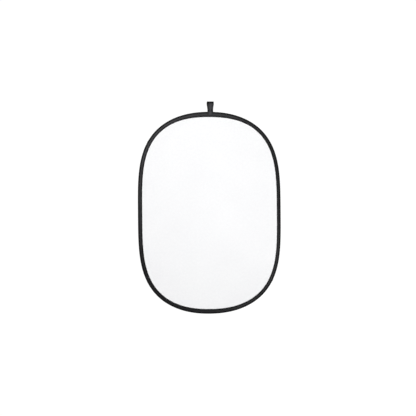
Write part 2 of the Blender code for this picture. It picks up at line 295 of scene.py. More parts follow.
def make_object(name, points, faces, material, corner_uv=None):
    """A smooth-shaded mesh; corner_uv gives each face corner's place on the cloth, in metres."""
    mesh = bpy.data.meshes.new(name)
    mesh.from_pydata(np.asarray(points, float).reshape(-1, 3).tolist(), [], faces)
    if corner_uv is not None:
        layer = mesh.uv_layers.new(name="Weave")
        layer.data.foreach_set("uv", np.asarray(corner_uv, np.float32).ravel())
    turn_faces_out(mesh)
    mesh.materials.append(material)
    mesh.shade_smooth()
    mesh.set_sharp_from_angle(angle=SHARP_ANGLE)
    mesh.update()
    made = bpy.data.objects.new(name, mesh)
    bpy.context.scene.collection.objects.link(made)
    return made


def ring_quads(index):
    """The quads between closed rings of points, where index[ring][place] is a point's number."""
    right = np.roll(index, -1, axis=1)
    return np.stack([index[:-1], right[:-1], right[1:], index[1:]], axis=-1).reshape(-1, 4)


def tube_faces(index):
    """The faces of a tube of rings with its two ends closed."""
    return [*ring_quads(index).tolist(), index[0][::-1].tolist(), index[-1].tolist()]


def band_object(name, points, u, v, material):
    """A solid band: points[row][column] with the columns running round the section, and flat ends.
    u and v give each point's place on the cloth, with one more column to close the section."""
    rows, columns = points.shape[:2]
    faces = tube_faces(np.arange(rows * columns).reshape(rows, columns))
    uv = np.stack([u, v], axis=-1)
    quad_uv = np.stack([uv[:-1, :-1], uv[:-1, 1:], uv[1:, 1:], uv[1:, :-1]], axis=2).reshape(-1, 2)
    corner_uv = np.concatenate([quad_uv, uv[0, :-1][::-1], uv[-1, :-1]])
    return make_object(name, points, faces, material, corner_uv)


def stitches_object(name, centres, along, outward, length, radius, material):
    """One closed, slightly bowed bead of thread at each centre, its ends sunk into the cloth."""
    # A bead's rings: their places as shares of its length, and their girth and rise as shares of its radius.
    places = np.array([-0.5, -0.4, -0.2, 0.0, 0.2, 0.4, 0.5])
    girth = np.array([0.35, 0.8, 1.0, 1.0, 1.0, 0.8, 0.35])
    rise = np.array([-0.9, -0.2, 0.15, 0.25, 0.15, -0.2, -0.9])
    turns = 2 * np.pi * np.arange(BEAD_SIDES) / BEAD_SIDES
    sideways = unit(np.cross(outward, along))
    length = np.broadcast_to(length, centres.shape[:1])
    step = along[:, None, None, :] * (length[:, None] * places)[:, :, None, None]
    width = radius * girth[:, None] * np.cos(turns)
    height = radius * (girth[:, None] * np.sin(turns) + rise[:, None])
    ring_side = sideways[:, None, None, :] * width[None, :, :, None]
    ring_up = outward[:, None, None, :] * height[None, :, :, None]
    points = centres[:, None, None, :] + step + ring_side + ring_up
    bead = tube_faces(np.arange(height.size).reshape(height.shape))
    faces = []
    for first in range(0, len(centres) * height.size, height.size):
        faces += [[first + corner for corner in face] for face in bead]
    return make_object(name, points, faces, material)


def blend_over_fold(piece):
    """Bakes the piece's placement into its mesh; the piece is not bent over the fold."""
    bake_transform(piece)


# ---------------- Materials ----------------

# The tape's painted highlight along its ridge: how far it runs from the outer edge's middle, and how wide it
# is to each side.
RIDGE_RUN = 13.5 * MM
RIDGE_REACH = 6 * MM
# How strong the ridge's painted highlight is: a mean, and two waves round the rim with their phases, which
# paint it lighter towards the upper left and darker towards the lower left, as the light falls.
RIDGE_LIGHT_MEAN = 0.45
RIDGE_LIGHT_ONCE_ROUND = 0.18
RIDGE_LIGHT_ONCE_PHASE = math.radians(105)
RIDGE_LIGHT_TWICE_ROUND = 0.22
RIDGE_LIGHT_TWICE_PHASE = math.radians(180)
FRAY_TONE = (0.12, 0.118, 0.115)
# The webbing is painted lighter down its middle, as a painted highlight, and left dark over the crown and
# beside the neck, as painted shade.
STREAK_HALF = 15 * MM
CROWN_HALF = 8 * MM
CROWN_FADE = 8 * MM
NECK_FADE = 6 * MM


class Nodes:
    """Short calls for building one material's node tree."""

    def __init__(self, name, roughness, metallic=0.0):
        self.material = bpy.data.materials.new(name)
        self.material.use_nodes = True
        self.tree = self.material.node_tree
        self.shader = self.tree.nodes["Principled BSDF"]
        self.set(Roughness=roughness, Metallic=metallic)

    def add(self, kind, **settings):
        node = self.tree.nodes.new(kind)
        for key, value in settings.items():
            setattr(node, key, value)
        return node

    def feed(self, socket, value):
        """Sets a socket to a number or colour, or links another node's output to it."""
        if isinstance(value, tuple):
            socket.default_value = (*value, 1)
        elif isinstance(value, (int, float)):
            socket.default_value = value
        else:
            self.tree.links.new(value, socket)

    def set(self, **values):
        """Feeds the shader's own sockets, with _ for a space in their names."""
        for key, value in values.items():
            self.feed(self.shader.inputs[key.replace("_", " ")], value)

    def math(self, operation, *values):
        node = self.add("ShaderNodeMath", operation=operation)
        for socket, value in zip(node.inputs, values):
            self.feed(socket, value)
        return node.outputs[0]

    def product(self, first, *others):
        for other in others:
            first = self.math("MULTIPLY", first, other)
        return first

    def total(self, base, *weighted):
        """The base plus each (value, weight)."""
        for value, weight in weighted:
            base = self.math("MULTIPLY_ADD", value, weight, base)
        return base

    def spread(self, value, low, high):
        """The value's 0 to 1 mapped to low to high."""
        return self.math("MULTIPLY_ADD", value, high - low, low)

    def clipped(self, value):
        """The value held between 0 and 1."""
        return self.math("MINIMUM", self.math("MAXIMUM", value, 0.0), 1.0)

    def away(self, value, place):
        """How far the value is from a place, on either side."""
        return self.math("ABSOLUTE", self.math("SUBTRACT", value, place))

    def tent(self, value, place, reach):
        """1 at a place, falling straight to 0 at this reach on either side of it."""
        share = self.math("DIVIDE", self.away(value, place), reach)
        return self.math("MAXIMUM", self.math("SUBTRACT", 1.0, share), 0.0)

    def wave(self, along, pitch, phase=0.0):
        """A sine along one axis, -1 to 1, that repeats at this pitch."""
        return self.math("SINE", self.math("MULTIPLY_ADD", along, 2 * math.pi / pitch, phase))

    def plain_weave(self, along, across, pitch):
        """Threads that pass over and under each other, as a height from -1 to 1."""
        return self.product(self.wave(along, pitch), self.wave(across, pitch))

    def cloth_place(self):
        """The place on the cloth in metres: whole, along and across."""
        place = self.add("ShaderNodeUVMap", uv_map="Weave").outputs["UV"]
        split = self.add("ShaderNodeSeparateXYZ")
        self.feed(split.inputs[0], place)
        return place, split.outputs[0], split.outputs[1]

    def space(self):
        """The place in the scene, in metres."""
        return self.add("ShaderNodeTexCoord").outputs["Object"]

    def squeezed(self, place, along, across):
        """The place with its two directions scaled, so that noise there comes out as streaks."""
        node = self.add("ShaderNodeVectorMath", operation="MULTIPLY")
        self.feed(node.inputs[0], place)
        node.inputs[1].default_value = (along, across, 1.0)
        return node.outputs[0]

    def noise(self, place, size, detail, roughness=0.55, distortion=0.0):
        """Noise from 0 to 1 whose blotches are about this size in metres."""
        node = self.add("ShaderNodeTexNoise")
        node.inputs["Scale"].default_value = 1 / size
        node.inputs["Detail"].default_value = detail
        node.inputs["Roughness"].default_value = roughness
        node.inputs["Distortion"].default_value = distortion
        self.feed(node.inputs["Vector"], place)
        return node.outputs["Fac"]

    def ramp(self, value, first, last):
        """A colour that turns from the first to the last; each is (value, colour)."""
        node = self.add("ShaderNodeValToRGB")
        for element, (place, colour) in zip(node.color_ramp.elements, (first, last)):
            element.position = place
            element.color = (*colour, 1)
        self.feed(node.inputs[0], value)
        return node.outputs["Color"]

    def mixed(self, share, first, second, blend_type="MIX"):
        """Two colours mixed, or joined in another blend type."""
        node = self.add("ShaderNodeMix", data_type="RGBA", blend_type=blend_type)
        for socket, value in zip((node.inputs[0], node.inputs[6], node.inputs[7]), (share, first, second)):
            self.feed(socket, value)
        return node.outputs[2]

    def bump(self, height, distance, strength):
        node = self.add("ShaderNodeBump")
        node.inputs["Distance"].default_value = distance
        node.inputs["Strength"].default_value = strength
        self.feed(node.inputs["Height"], height)
        self.set(Normal=node.outputs["Normal"])


def white_cloth_material():
    """Matt plain weave with thicker and thinner threads, a little uneven in tone."""
    nodes = Nodes("white_cloth", roughness=0.82)
    place, along, across = nodes.cloth_place()
    weave = nodes.plain_weave(along, across, pitch=0.7 * MM)
    slub = nodes.noise(place, size=9 * MM, detail=5)
    broad = nodes.noise(place, size=260 * MM, detail=2)
    tone = nodes.ramp(broad, (0.25, (0.909, 0.908, 0.911)), (0.75, (0.938, 0.937, 0.936)))
    thread = nodes.ramp(slub, (0.35, (0.965, 0.965, 0.97)), (0.7, (1.0, 1.0, 1.0)))
    nodes.set(Base_Color=nodes.mixed(1.0, tone, thread, blend_type="MULTIPLY"))
    nodes.set(Roughness=nodes.spread(slub, low=0.74, high=0.9))
    nodes.bump(nodes.total(weave, (slub, 0.6)), distance=0.05 * MM, strength=0.5)
    nodes.set(Sheen_Weight=0.12, Sheen_Roughness=0.5, Specular_IOR_Level=0.25)
    return nodes.material


def silver_cloth_material():
    """Metal-coated cloth: a fine weave under a faint crinkle, and long soft waves."""
    nodes = Nodes("silver_cloth", roughness=0.3, metallic=0.9)
    place, along, across = nodes.cloth_place()
    weave = nodes.plain_weave(along, across, pitch=0.9 * MM)
    crinkle = nodes.noise(place, size=11 * MM, detail=4, distortion=0.8)
    waves = nodes.noise(nodes.squeezed(place, 1.0, 0.35), size=45 * MM, detail=2)
    nodes.set(Base_Color=nodes.ramp(crinkle, (0.3, (0.715, 0.72, 0.737)), (0.7, (0.745, 0.75, 0.765))))
    nodes.set(Roughness=nodes.spread(crinkle, low=0.25, high=0.36))
    nodes.bump(nodes.total(weave, (crinkle, 6.0), (waves, 24.0)), distance=0.05 * MM, strength=0.7)
    return nodes.material


def binding_painted_light(nodes, place, along, across):
    """How much painted highlight the tape gets: along a ridge on its slope, in patches, and lighter towards
    the upper left and darker towards the lower left round the rim, as the light falls.
    """
    ridge = nodes.tent(nodes.math("ABSOLUTE", across), RIDGE_RUN, RIDGE_REACH)
    once_round = nodes.wave(along, PERIMETER, RIDGE_LIGHT_ONCE_PHASE)
    twice_round = nodes.wave(along, PERIMETER / 2, RIDGE_LIGHT_TWICE_PHASE)
    painted_light = nodes.total(RIDGE_LIGHT_MEAN, (twice_round, RIDGE_LIGHT_TWICE_ROUND), (once_round, RIDGE_LIGHT_ONCE_ROUND))
    # Patches that vary the strength of the painted highlight.
    light_patches = nodes.noise(place, size=70 * MM, detail=3)
    return nodes.product(nodes.math("MAXIMUM", painted_light, 0.0), nodes.spread(light_patches, low=0.35, high=1.15), ridge)


def binding_fray(nodes, place, along, across):
    """How much the cloth is combed out into loose fibres, at the slanting cut ends of the tape."""
    square = nodes.total(along, (across, -BIAS_SLANT))
    past_end = nodes.math("MINIMUM", nodes.away(square, UPPER_JOINT), nodes.away(square, LOWER_JOINT))
    from_end = nodes.math("DIVIDE", past_end, FRAYED_END)
    # Streaks of noise, of which fewer are strong enough to show the further they are from the end.
    combed = nodes.noise(nodes.squeezed(place, 0.12, 1.0), size=0.5 * MM, detail=2)
    fibres = nodes.math("SUBTRACT", nodes.math("MULTIPLY", combed, 2.6), nodes.math("ADD", from_end, 0.55))
    return nodes.clipped(fibres)


def binding_material():
    """Ribbed tape, with a painted highlight between its shoulder and its seam, and frayed at its cut ends."""
    nodes = Nodes("black_binding", roughness=0.8)
    place, along, across = nodes.cloth_place()
    ribs = nodes.wave(along, pitch=0.8 * MM)
    weave = nodes.total(ribs, (nodes.wave(across, pitch=0.9 * MM), 0.6))
    lint = nodes.noise(place, size=5 * MM, detail=6, roughness=0.7)
    # Painted highlight: the tape's black is mixed up to a pale grey along the ridge, where front light would
    # catch its rounded face.
    painted_light = binding_painted_light(nodes, place, along, across)
    painted_light_tone = nodes.mixed(painted_light, (0.005, 0.005, 0.0053), (0.094, 0.094, 0.098))
    linted = nodes.mixed(nodes.math("MULTIPLY", lint, 0.14), painted_light_tone, (0.018, 0.018, 0.019))
    fray = binding_fray(nodes, place, along, across)
    nodes.set(Base_Color=nodes.mixed(fray, linted, FRAY_TONE))
    nodes.set(Roughness=nodes.spread(lint, low=0.7, high=0.92))
    nodes.bump(nodes.total(weave, (lint, 1.5)), distance=0.09 * MM, strength=0.8)
    nodes.set(Sheen_Weight=0.015, Sheen_Roughness=0.45, Specular_IOR_Level=0.09)
    return nodes.material


def webbing_painted_light(nodes, along, across):
    """How much painted light the webbing gets: a painted highlight down the middle of its outer face, and
    painted shade over the crown, on the inner face and beside the neck.
    """
    from_crown = nodes.math("ABSOLUTE", along)
    off_middle = nodes.math("DIVIDE", nodes.math("ABSOLUTE", across), STREAK_HALF)
    # Painted light and shade: paler at the middle and darker towards the edges, as front light falls on the
    # cupped face.
    streak = nodes.math("MAXIMUM", nodes.math("SUBTRACT", 1.0, off_middle), 0.0)
    # Painted shade over the crown, where the webbing turns away from the light.
    past_crown = nodes.math("DIVIDE", nodes.math("SUBTRACT", from_crown, CROWN_HALF), CROWN_FADE)
    # Painted shade on the inner face, which the light does not reach.
    outer_face = nodes.math("LESS_THAN", along, INSIDE_SHIFT / 2)
    # Painted shade at the neck's sides, where the gathered webbing curls back out of the light.
    near_neck = nodes.tent(from_crown, NECK_RUN, NECK_FADE)
    beside = nodes.math("MINIMUM", nodes.math("MULTIPLY", off_middle, 2.2), 1.0)
    out_of_neck_shade = nodes.math("SUBTRACT", 1.0, nodes.product(near_neck, beside))
    return nodes.product(streak, nodes.clipped(past_crown), outer_face, out_of_neck_shade)


def webbing_material():
    """Ribbed webbing, with a painted highlight down its middle and painted shade over its crown, on its inner
    face and beside its neck.
    """
    nodes = Nodes("black_webbing", roughness=0.75)
    place, along, across = nodes.cloth_place()
    ribs = nodes.math("MULTIPLY", nodes.wave(along, pitch=1.5 * MM), 0.8)
    cords = nodes.math("ABSOLUTE", nodes.wave(across, pitch=1.6 * MM, phase=0.8))
    lint = nodes.noise(place, size=4 * MM, detail=6, roughness=0.7)
    # Painted light: the webbing's black is mixed up to a grey where the painted highlight falls.
    painted_light_tone = nodes.mixed(webbing_painted_light(nodes, along, across), (0.004, 0.004, 0.0043), (0.066, 0.065, 0.07))
    nodes.set(Base_Color=nodes.mixed(nodes.math("MULTIPLY", lint, 0.12), painted_light_tone, (0.03, 0.03, 0.031)))
    nodes.set(Roughness=nodes.spread(lint, low=0.62, high=0.88))
    nodes.bump(nodes.total(ribs, (cords, 0.9), (lint, 0.8)), distance=0.16 * MM, strength=0.9)
    nodes.set(Sheen_Weight=0.015, Sheen_Roughness=0.4, Specular_IOR_Level=0.1)
    return nodes.material


def thread_material():
    """Twisted polyester thread, with a faint shine."""
    nodes = Nodes("black_thread", roughness=0.5)
    twist = nodes.noise(nodes.space(), size=0.5 * MM, detail=2)
    nodes.set(Base_Color=nodes.ramp(twist, (0.3, (0.02, 0.02, 0.022)), (0.75, (0.07, 0.07, 0.074))))
    nodes.set(Roughness=nodes.spread(twist, low=0.38, high=0.62))
    nodes.bump(twist, distance=0.08 * MM, strength=0.7)
    nodes.set(Sheen_Weight=0.2, Sheen_Roughness=0.3, Specular_IOR_Level=0.5)
    return nodes.material


def frayed_yarn_material():
    """Loose matt fibres, in uneven greys."""
    nodes = Nodes("frayed_yarn", roughness=0.8)
    tuft = nodes.noise(nodes.space(), size=0.6 * MM, detail=2)
    nodes.set(Base_Color=nodes.ramp(tuft, (0.3, (0.04, 0.04, 0.042)), (0.7, FRAY_TONE)))
    nodes.set(Roughness=nodes.spread(tuft, low=0.7, high=0.95))
    nodes.set(Specular_IOR_Level=0.2)
    return nodes.material


def spring_steel_material():
    """Blued steel, in the broad bands of colour that tempering leaves."""
    nodes = Nodes("spring_steel", roughness=0.3, metallic=1.0)
    heat = nodes.noise(nodes.space(), size=70 * MM, detail=3)
    grain = nodes.noise(nodes.space(), size=1.2 * MM, detail=5)
    nodes.set(Base_Color=nodes.ramp(heat, (0.3, (0.20, 0.22, 0.28)), (0.7, (0.36, 0.38, 0.42))))
    nodes.set(Roughness=nodes.spread(grain, low=0.2, high=0.42))
    nodes.bump(grain, distance=0.02 * MM, strength=0.4)
    return nodes.material


def plated_steel_material():
    """Dull zinc plating."""
    nodes = Nodes("plated_steel", roughness=0.28, metallic=1.0)
    grain = nodes.noise(nodes.space(), size=1.5 * MM, detail=5)
    nodes.set(Base_Color=nodes.ramp(grain, (0.3, (0.52, 0.52, 0.53)), (0.8, (0.68, 0.68, 0.69))))
    nodes.set(Roughness=nodes.spread(grain, low=0.2, high=0.4))
    nodes.bump(grain, distance=0.03 * MM, strength=0.5)
    return nodes.material


def vinyl_tape_material():
    """Black vinyl tape with a pebbled surface."""
    nodes = Nodes("vinyl_tape", roughness=0.42)
    pebble = nodes.noise(nodes.space(), size=0.8 * MM, detail=3)
    nodes.set(Base_Color=nodes.ramp(pebble, (0.3, (0.018, 0.018, 0.018)), (0.8, (0.034, 0.034, 0.034))))
    nodes.set(Roughness=nodes.spread(pebble, low=0.34, high=0.52))
    nodes.bump(pebble, distance=0.04 * MM, strength=0.6)
    nodes.set(Specular_IOR_Level=0.5)
    return nodes.material


# ---------------- The binding tape ----------------


def face_height(depth):
    """How far the rim's face stands from the middle plane at this depth inside the outer edge."""
    rise = np.clip((SHOULDER - depth) / SHOULDER, 0, 1)
    shoulder = EDGE_HALF + (CREST - EDGE_HALF) * np.sqrt(1 - rise**2)
    fall = np.clip((depth - SHOULDER) / (WING_START - SHOULDER), 0, 1)
    slope = WING_HEIGHT + (CREST - WING_HEIGHT) * np.cos(np.pi / 2 * fall) ** SLOPE_POWER
    groove = SEAM_GROOVE * np.exp(-(((depth - SEAM_DEPTH) / SEAM_GROOVE_REACH) ** 2))
    return np.where(depth < SHOULDER, shoulder, slope) - groove


def tape_section():
    """The tape's outer surface on one face, from the outer edge to the selvedge: each point's depth inside
    the outer edge, and its way along the surface from the tape's middle line."""
    shoulder = SHOULDER * (1 - np.cos(np.linspace(0, np.pi / 2, 9)))
    slope = np.linspace(SHOULDER, WING_START, 12)[1:]
    wing = np.linspace(WING_START, RIM_WIDTH, 9)[1:]
    depth = np.concatenate([shoulder, slope, wing])
    height = face_height(depth)
    run = EDGE_HALF + np.concatenate([[0], np.cumsum(np.hypot(np.diff(depth), np.diff(height)))])
    return depth, run


SECTION_DEPTH, SECTION_RUN = tape_section()


def across_tape(depth, side):
    """The way across the tape from its middle line to this depth on one face, negative on the front."""
    return side * np.interp(depth, SECTION_DEPTH, SECTION_RUN)


def section_outward():
    """The way out of the tape's surface, as (inwards, away from the middle plane). It leans outwards on the
    round shoulder, and on the slope it is taken as straight away from the middle plane."""
    rise = np.gradient(face_height(SECTION_DEPTH), SECTION_DEPTH)
    outward = np.stack([-rise, np.ones(len(rise))], axis=-1)
    # At the outer edge the surface stands nearly upright.
    outward[0] = (-1.0, 0.35)
    inwards = -np.abs(unit(outward)[:, 0]) * (SECTION_DEPTH < SHOULDER)
    return inwards, np.sqrt(1 - inwards**2)


def lap_lift(spaced):
    """How far the tape on top is raised over the other's ends, this far along it."""
    near_end = np.minimum(spaced - UPPER_JOINT, LOWER_JOINT - spaced)
    raised = (TAPE_THICKNESS + CLEARANCE) * smooth(1 - (near_end - TAPE_LAP) / LAP_RAMP)
    return np.where(near_end > -ROUNDING, raised, 0)


def tape_length(name, start, end, on_top, seed, material):
    """One length of binding tape, its ends cut slanting. The length on top rises over the other's ends."""
    def both_faces(values, front_sign=1):
        # From the front selvedge round to the back one.
        return np.concatenate([front_sign * values[::-1], values])

    sides = both_faces(np.ones(len(SECTION_DEPTH)), front_sign=FRONT)
    depths = both_faces(SECTION_DEPTH)
    across = both_faces(SECTION_RUN, front_sign=FRONT)
    out_depth, out_height = [both_faces(part) for part in section_outward()]
    spaced = np.linspace(start, end, int((end - start) / TAPE_MESH_STEP) + 1)
    way = spaced[:, None] + BIAS_SLANT * across
    lift = lap_lift(spaced)[:, None] if on_top else 0
    # The puckers are strongest at the seam, and the swell over the hoop.
    share = depths / RIM_WIDTH
    pucker = TAPE_PUCKER * ripples(way, seed, TAPE_PUCKER_WAVES) * smooth((share - 0.45) / 0.3)
    swell = TAPE_SWELL * ripples(way, seed + 1, TAPE_SWELL_WAVES) * smooth(share / 0.3)
    swell = swell * (1 - smooth((share - 0.7) / 0.3))
    roll = SELVEDGE_ROLL * np.exp(-(((RIM_WIDTH - depths) / SELVEDGE) ** 2))
    height = face_height(depths) + roll + swell + pucker
    real_depth = stretched(depths, way)

    def layer(offset, lowest):
        raised = offset + lift
        y = np.maximum(height + raised * out_height, lowest)
        return rim_points(way, real_depth + raised * out_depth, sides * y)

    # The inner surface runs back the other way, with half as many points.
    outer = layer(0.0, CLOTH_SURFACE + CLEARANCE + TAPE_THICKNESS)
    inner = layer(-TAPE_THICKNESS, CLOTH_SURFACE + CLEARANCE)[:, ::-2]
    points = np.concatenate([outer, inner], axis=1)
    u = np.concatenate([way, way[:, ::-2], way[:, :1]], axis=1)
    v = np.broadcast_to(np.concatenate([across, across[::-2], across[:1]]), u.shape)
    return band_object(name, points, u, v, material)


def make_binding(material):
    """Two lengths of tape. The right one starts and ends on top of the left one's ends."""
    right = tape_length("binding_tape_right", UPPER_JOINT, LOWER_JOINT, True, 11, material)
    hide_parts("binding_top", "binding_right_lower")
    left_start = LOWER_JOINT - TAPE_LAP
    left_end = PERIMETER + UPPER_JOINT + TAPE_LAP
    left = tape_length("binding_tape_left", left_start, left_end, False, 23, material)
    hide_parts("binding_bottom", "binding_left_upper")
    for tape in (right, left):
        blend_over_fold(tape)


# ---------------- The cloths ----------------


def cloth_points(seed):
    """Rings of points from under the binding to near the middle, and how far each stands off the flat."""
    way = PERIMETER * np.arange(CLOTH_COLUMNS) / CLOTH_COLUMNS
    # The rings are closest together at the seam, where the puckers are steepest.
    beyond = np.array([10, 13.5, 16, 18, 20.5, 24, 28, 33, 40, 49, 60, 74, 90]) * MM
    depths = np.array([CLOTH_EDGE_DEPTH, *beyond])
    edge_rings = rim_points(way, depths[:, None], 0.0)
    middle = np.array(CENTRE)
    scales = np.linspace(1, 0, CLOTH_INNER_RINGS + 2)[1:-1]
    inner_rings = middle + scales[:, None, None] * (edge_rings[-1] - middle)
    grid = np.concatenate([edge_rings, inner_rings])

    # The inner rings are further in than any pull of the tape reaches.
    depth = np.concatenate([depths, np.full(CLOTH_INNER_RINGS, 0.2)])[:, None]
    past_tape = depth - rim_width(way)
    pull = np.exp(-np.maximum(past_tape, 0) / CLOTH_PUCKER_REACH) * smooth(past_tape / (3 * MM) + 0.5)
    pucker = CLOTH_PUCKER * (1 + ripples(way, seed, CLOTH_PUCKER_WAVES)) * pull

    x, z = grid[..., 0] - CENTRE.x, grid[..., 2] - CENTRE.z
    powers = CLOTH_SLACK_POWERS
    inside = 1 - (np.abs(x) / HALF_WIDTH) ** powers[0] - (np.abs(z) / HALF_HEIGHT) ** powers[1]
    long_wave = np.sin(CLOTH_LONG_WAVE[0] * x + CLOTH_LONG_WAVE[1] * z + seed)
    short_wave = np.sin(CLOTH_SHORT_WAVE[0] * x + CLOTH_SHORT_WAVE[1] * z)
    slack = CLOTH_SLACK * np.clip(inside, 0, 1) * (1 + 0.4 * long_wave + 0.3 * short_wave)
    return grid, pucker + slack


def make_cloth(name, side, seed, material):
    """One taut cloth with a thickness: its face, its underside and its edge, in one closed mesh."""
    grid, lift = cloth_points(seed)
    rings, columns = grid.shape[:2]
    layers = []
    middles = []
    for drop in (0, CLOTH_THICKNESS):
        layer = grid.copy()
        layer[..., 1] = side * (CLOTH_SURFACE - drop + lift)
        layers.append(layer.reshape(-1, 3))
        middles.append([CENTRE.x, side * (CLOTH_SURFACE - drop + float(lift[-1].mean())), CENTRE.z])
    points = np.concatenate([*layers, middles])

    below = rings * columns
    index = np.arange(below).reshape(rings, columns)
    right = np.roll(index, -1, axis=1)
    face = ring_quads(index)
    fan = np.stack([index[-1], right[-1], np.full(columns, 2 * below)], axis=-1)
    under_fan = fan[:, ::-1] + np.array([1, below, below])
    edge = np.stack([index[0], index[0] + below, right[0] + below, right[0]], axis=-1)
    faces = []
    for group in (face, fan, face[:, ::-1] + below, under_fan, edge):
        faces += group.tolist()
    corners = np.concatenate(faces)
    cloth = make_object(name, points, faces, material, points[corners][:, [0, 2]])

    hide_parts(f"{SIDE_NAMES[side]}_cloth_upper", f"{SIDE_NAMES[side]}_cloth_lower")
    blend_over_fold(cloth)


# ---------------- Stitching ----------------


def face_frames(way, depth, side):
    """Centres on the rim's face, and unit vectors inwards down its slope, along it and out of it."""
    inward, along = rim_directions(way)
    away = np.array([0, side, 0])
    step = 0.05 * MM
    slope = ((face_height(depth + step) - face_height(depth - step)) / (2 * step))[:, None]
    down = unit(inward + away * slope)
    outward = unit(away - inward * slope)
    centres = rim_points(way, stretched(depth, way), side * face_height(depth))
    return centres, down, along, outward


def make_rim_stitching(side, material):
    """The row that holds the tape's edge, each stitch a little out of line and aslant."""
    count = round(PERIMETER / RIM_STITCH_PITCH)
    draw = np.random.default_rng(31 + side)
    uneven = 0.08 * draw.standard_normal(count)
    way = (np.arange(count) + uneven) * PERIMETER / count
    wander = 0.12 * MM * ripples(way, 41 + side, (45 * MM, 110 * MM))
    from_top = np.mod(way + PERIMETER / 2, PERIMETER) - PERIMETER / 2
    lift = lap_lift(from_top - BIAS_SLANT * across_tape(SEAM_DEPTH, side))
    height = WING_HEIGHT + 0.02 * MM + lift
    centres = rim_points(way, stretched(SEAM_DEPTH, way) + wander, side * height)
    outward = np.broadcast_to(np.array([0.0, side, 0.0]), centres.shape)
    inward, along = rim_directions(way)
    aslant = unit(along + 0.07 * inward)
    name = f"rim_stitching_{SIDE_NAMES[side]}"
    row = stitches_object(name, centres, aslant, outward, RIM_STITCH_LENGTH, THREAD_RADIUS, material)
    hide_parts(f"{name}_upper", f"{name}_lower")
    blend_over_fold(row)


def make_joint_stitching(half, joint, ahead, side, material):
    """A slanting row along the lapped end of the tape on top, which lies ahead of the joint."""
    depth = np.arange(*JOINT_STITCH_DEPTHS, JOINT_STITCH_PITCH)
    way = joint + ahead * JOINT_STITCH_INSET + BIAS_SLANT * across_tape(depth, side)
    centres, down, along, outward = face_frames(way, depth, side)
    centres = centres + outward * (TAPE_THICKNESS + 0.1 * MM)
    direction = unit(down + along * side * BIAS_SLANT)
    name = f"{half}_joint_stitches_{SIDE_NAMES[side]}"
    size = (JOINT_STITCH_LENGTH, JOINT_STITCH_RADIUS)
    row = stitches_object(name, centres, direction, outward, *size, material)
    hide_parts(f"{half}_joint_stitching_{SIDE_NAMES[side]}")
    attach(row, f"{half}_half")


def make_frayed_ends(half, joint, ahead, side, material):
    """The loose yarn ends that stick out of the cut end of the tape on top and lie on the other tape."""
    draw = np.random.default_rng(71 + side + (10 if half == "upper" else 20))
    even = np.arange(*YARN_DEPTHS, YARN_PITCH)
    count = len(even)
    depth = even + 0.1 * MM * draw.standard_normal(count)
    length = YARN_LENGTH * draw.uniform(0.45, 1.0, count)
    # Most of each yarn sticks out past the cut, and the rest is under the tape.
    way = joint - ahead * 0.3 * length + BIAS_SLANT * across_tape(depth, side)
    centres, down, along, outward = face_frames(way, depth, side)
    lift = MM * draw.uniform(0.1, 0.55, count)
    splay = 0.35 * draw.standard_normal(count)
    centres = centres + outward * lift[:, None]
    direction = unit(along + down * splay[:, None])
    name = f"{half}_frayed_ends_{SIDE_NAMES[side]}"
    row = stitches_object(name, centres, direction, outward, length, YARN_RADIUS, material)
    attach(row, f"{half}_half")


def make_bar_tack(side, material):
    """A dense zigzag across the end of the loop's leg."""
    name = f"bar_tack_{SIDE_NAMES[side]}"
    low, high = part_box(name)
    top, bottom = RIM_TOP - high.z, RIM_TOP - low.z
    middle = (top + bottom) / 2
    slope = (leg_face(bottom) - leg_face(top)) / (bottom - top)
    x = np.linspace(low.x + TACK_THREAD_RADIUS, high.x - TACK_THREAD_RADIUS, TACK_STRANDS)
    lean = TACK_LEAN * np.where(np.arange(TACK_STRANDS) % 2 == 0, 1, -1)
    same = np.ones(TACK_STRANDS)
    centres = np.stack([x, same * side * leg_face(middle), same * (RIM_TOP - middle)], axis=-1)
    along = unit(np.stack([lean, same * side * slope, -same], axis=-1))
    outward = unit(np.stack([0 * same, same * side, same * slope], axis=-1))
    draw = np.random.default_rng(53 + side)
    length = (bottom - top) * (1.0 + 0.06 * draw.standard_normal(TACK_STRANDS))
    tack = stitches_object(f"{name}_thread", centres, along, outward, length, TACK_THREAD_RADIUS, material)
    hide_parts(name)
    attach(tack, "upper_half")


# ---------------- The hanging loop ----------------


def leg_face(depth):
    """How far the outer surface of the loop's leg stands from the middle plane, at this depth on the rim."""
    section = np.linspace(0, RIM_WIDTH, 200)
    height = np.interp(depth, stretched(section, LOOP_WAY), face_height(section))
    return float(height) + WEBBING_THICKNESS + 0.1 * MM


def catmull_rom(points, per_span):
    """A smooth curve through all the points."""
    points = np.asarray(points, float)
    padded = np.concatenate([[2 * points[0] - points[1]], points, [2 * points[-1] - points[-2]]])
    t = np.linspace(0, 1, per_span, endpoint=False)[:, None]
    spans = []
    for a, b, c, d in zip(padded, padded[1:], padded[2:], padded[3:]):
        square = 2 * a - 5 * b + 4 * c - d
        cube = 3 * b - a - 3 * c + d
        spans.append(0.5 * (2 * b + (c - a) * t + square * t**2 + cube * t**3))
    return np.concatenate([*spans, points[-1:]])


